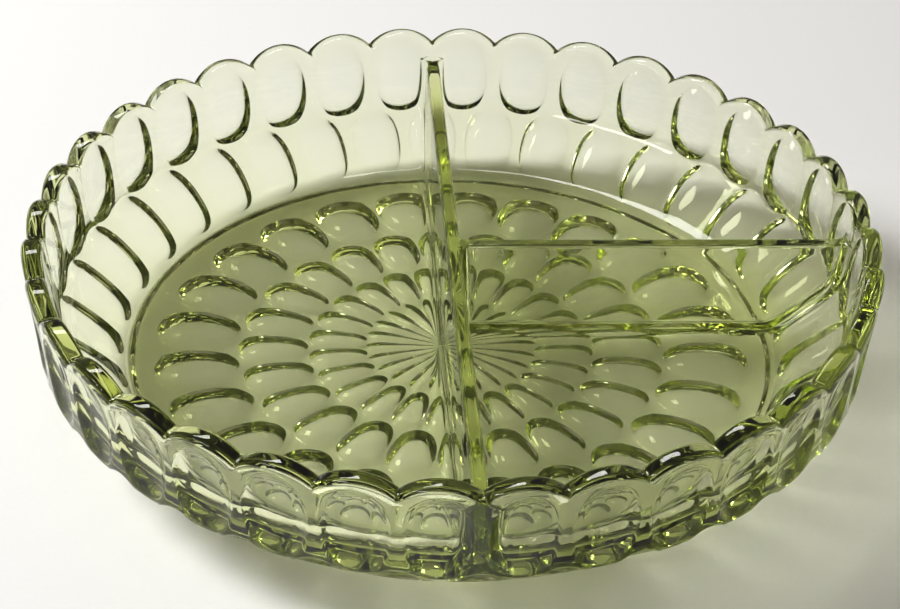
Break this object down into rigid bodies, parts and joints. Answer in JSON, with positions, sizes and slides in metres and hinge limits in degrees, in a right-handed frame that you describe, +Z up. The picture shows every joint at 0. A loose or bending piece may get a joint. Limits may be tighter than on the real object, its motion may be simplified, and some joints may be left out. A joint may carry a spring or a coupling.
{
  "type": "relish tray",
  "caption": "Round divided relish tray in pressed green glass, with a scalloped rim, thumbprints pressed into the outside and dividers that part the bowl into compartments",
  "frame": {"origin": "middle of the foot ring's flat underside, at the foot of the tray's axis", "axes": "+Z up out of the bowl; the long divider runs along Y and the cross divider along +X, so the undivided half is on -X"},
  "size_m": [0.254, 0.254, 0.0525],
  "materials": {
    "green_glass": "clear olive-green soda-lime glass, fire-polished all over"
  },
  "bodies": {
    "root": {"floor_plate": "green_glass", "foot_ring": "green_glass", "lower_wall": "green_glass", "upper_wall": "green_glass", "scalloped_rim": "green_glass", "long_divider": "green_glass", "cross_divider": "green_glass"}
  },
  "joints": []
}
